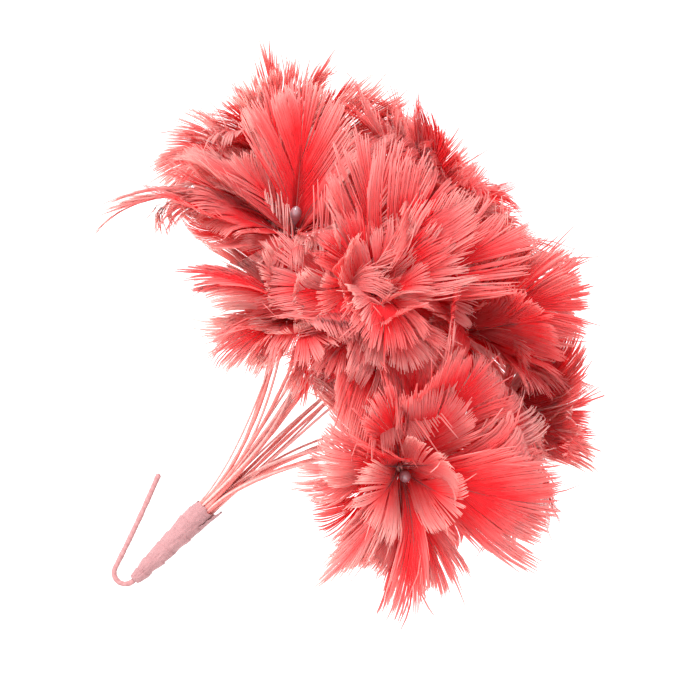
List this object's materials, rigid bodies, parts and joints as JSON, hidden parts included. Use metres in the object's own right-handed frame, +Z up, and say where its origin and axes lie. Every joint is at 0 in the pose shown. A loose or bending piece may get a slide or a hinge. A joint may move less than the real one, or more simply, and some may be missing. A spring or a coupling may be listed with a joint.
{
  "type": "feather flower spray",
  "caption": "Spray of soft feather blossoms with bead centres on bendable wire stems, gathered into a tape-bound stem with a bent wire hook.",
  "frame": {"origin": "on the axis of the bound stem at the lower tip of its tape, where the spray is gripped, pinned or sewn on", "axes": "+Z up the bound stem to the flowers, -Y to the front that the flowers face, -X to the side the hook is on"},
  "size_m": [0.1933, 0.1345, 0.2016],
  "materials": {
    "feather": "soft dyed feather, slightly translucent",
    "covered_wire": "thread-covered florist's wire",
    "thread": "wound thread",
    "tape": "crinkled stem tape",
    "paper_wire": "paper-covered wire",
    "bead": "pearl lacquer"
  },
  "bodies": {
    "binding": {"stem_tape": "tape", "binding_thread": "thread", "wire_tails": "covered_wire"},
    "hook": {"hook_wire": "paper_wire"},
    "stem_1": {"flower_1_stem": "covered_wire"},
    "head_1": {"flower_1_neck_wrap": "thread", "flower_1_stamen": "bead", "flower_1_feather_1": "feather", "flower_1_feather_2": "feather", "flower_1_feather_3": "feather"},
    "stem_2": {"flower_2_stem": "covered_wire"},
    "head_2": {"flower_2_neck_wrap": "thread", "flower_2_stamen": "bead", "flower_2_feather_1": "feather", "flower_2_feather_2": "feather", "flower_2_feather_3": "feather"},
    "stem_3": {"flower_3_stem": "covered_wire"},
    "head_3": {"flower_3_neck_wrap": "thread", "flower_3_stamen": "bead", "flower_3_feather_1": "feather", "flower_3_feather_2": "feather", "flower_3_feather_3": "feather"},
    "stem_4": {"flower_4_stem": "covered_wire"},
    "head_4": {"flower_4_neck_wrap": "thread", "flower_4_stamen": "bead", "flower_4_feather_1": "feather", "flower_4_feather_2": "feather", "flower_4_feather_3": "feather"},
    "stem_5": {"flower_5_stem": "covered_wire"},
    "head_5": {"flower_5_neck_wrap": "thread", "flower_5_stamen": "bead", "flower_5_feather_1": "feather", "flower_5_feather_2": "feather", "flower_5_feather_3": "feather", "flower_5_feather_4": "feather"},
    "stem_6": {"flower_6_stem": "covered_wire"},
    "head_6": {"flower_6_neck_wrap": "thread", "flower_6_stamen": "bead", "flower_6_feather_1": "feather", "flower_6_feather_2": "feather", "flower_6_feather_3": "feather"},
    "stem_7": {"flower_7_stem": "covered_wire"},
    "head_7": {"flower_7_neck_wrap": "thread", "flower_7_stamen": "bead", "flower_7_feather_1": "feather", "flower_7_feather_2": "feather", "flower_7_feather_3": "feather"},
    "stem_8": {"flower_8_stem": "covered_wire"},
    "head_8": {"flower_8_neck_wrap": "thread", "flower_8_stamen": "bead", "flower_8_feather_1": "feather", "flower_8_feather_2": "feather", "flower_8_feather_3": "feather", "flower_8_feather_4": "feather"},
    "stem_9": {"flower_9_stem": "covered_wire"},
    "head_9": {"flower_9_neck_wrap": "thread", "flower_9_stamen": "bead", "flower_9_feather_1": "feather", "flower_9_feather_2": "feather", "flower_9_feather_3": "feather"}
  },
  "joints": [
    {"name": "hook_bend", "type": "hinge", "parent": "binding", "child": "hook", "pos_m": [0, 0, -0.00075], "axis": [0, -1, 0], "range_deg": [-12, 40]},
    {"name": "stem_1_bend", "type": "hinge", "parent": "binding", "child": "stem_1", "pos_m": [0.0019, 0.0011, 0.03745], "axis": [-0.1736, 0.9848, 0], "range_deg": [-1, 20]},
    {"name": "head_1_nod", "type": "hinge", "parent": "stem_1", "child": "head_1", "pos_m": [0.0434, 0.00356, 0.12128], "axis": [-0.1736, 0.9848, 0], "range_deg": [-8, 18]},
    {"name": "stem_2_bend", "type": "hinge", "parent": "binding", "child": "stem_2", "pos_m": [0.00075, 0.00206, 0.03745], "axis": [-0.9925, 0.1219, 0], "range_deg": [-4, 20]},
    {"name": "head_2_nod", "type": "hinge", "parent": "stem_2", "child": "head_2", "pos_m": [0.00356, 0.02769, 0.13695], "axis": [-0.9925, 0.1219, 0], "range_deg": [-8, 18]},
    {"name": "stem_3_bend", "type": "hinge", "parent": "binding", "child": "stem_3", "pos_m": [-0.00075, 0.00206, 0.03745], "axis": [-1, 0, 0], "range_deg": [-4, 12]},
    {"name": "head_3_nod", "type": "hinge", "parent": "stem_3", "child": "head_3", "pos_m": [-0.01894, 0.00133, 0.15542], "axis": [-1, 0, 0], "range_deg": [-8, 18]},
    {"name": "stem_4_bend", "type": "hinge", "parent": "binding", "child": "stem_4", "pos_m": [-0.0019, 0.0011, 0.03745], "axis": [-0.342, -0.9397, 0], "range_deg": [-2, 20]},
    {"name": "head_4_nod", "type": "hinge", "parent": "stem_4", "child": "head_4", "pos_m": [-0.05988, 0.01469, 0.13588], "axis": [-0.342, -0.9397, 0], "range_deg": [-8, 18]},
    {"name": "stem_5_bend", "type": "hinge", "parent": "binding", "child": "stem_5", "pos_m": [-0.00216, -0.00038, 0.03745], "axis": [0.2588, -0.9659, 0], "range_deg": [-1, 18]},
    {"name": "head_5_nod", "type": "hinge", "parent": "stem_5", "child": "head_5", "pos_m": [-0.04118, -0.02405, 0.12286], "axis": [0.2588, -0.9659, 0], "range_deg": [-8, 18]},
    {"name": "stem_6_bend", "type": "hinge", "parent": "binding", "child": "stem_6", "pos_m": [-0.00141, -0.00168, 0.03745], "axis": [1, 0, 0], "range_deg": [-1, 16]},
    {"name": "head_6_nod", "type": "hinge", "parent": "stem_6", "child": "head_6", "pos_m": [-0.02122, -0.02758, 0.10829], "axis": [1, 0, 0], "range_deg": [-8, 18]},
    {"name": "stem_7_bend", "type": "hinge", "parent": "binding", "child": "stem_7", "pos_m": [0, -0.00219, 0.03745], "axis": [0.9659, 0.2588, 0], "range_deg": [-1, 10]},
    {"name": "head_7_nod", "type": "hinge", "parent": "stem_7", "child": "head_7", "pos_m": [-0.01056, -0.03408, 0.1283], "axis": [0.9659, 0.2588, 0], "range_deg": [-8, 18]},
    {"name": "stem_8_bend", "type": "hinge", "parent": "binding", "child": "stem_8", "pos_m": [0.00141, -0.00168, 0.03745], "axis": [0.6947, 0.7193, 0], "range_deg": [-2, 20]},
    {"name": "head_8_nod", "type": "hinge", "parent": "stem_8", "child": "head_8", "pos_m": [0.03532, -0.03368, 0.09845], "axis": [0.6947, 0.7193, 0], "range_deg": [-8, 18]},
    {"name": "stem_9_bend", "type": "hinge", "parent": "binding", "child": "stem_9", "pos_m": [0.00216, -0.00038, 0.03745], "axis": [-0.2588, -0.9659, 0], "range_deg": [-1, 7]},
    {"name": "head_9_nod", "type": "hinge", "parent": "stem_9", "child": "head_9", "pos_m": [0.01448, -0.01336, 0.13944], "axis": [-0.2588, -0.9659, 0], "range_deg": [-8, 18]}
  ]
}
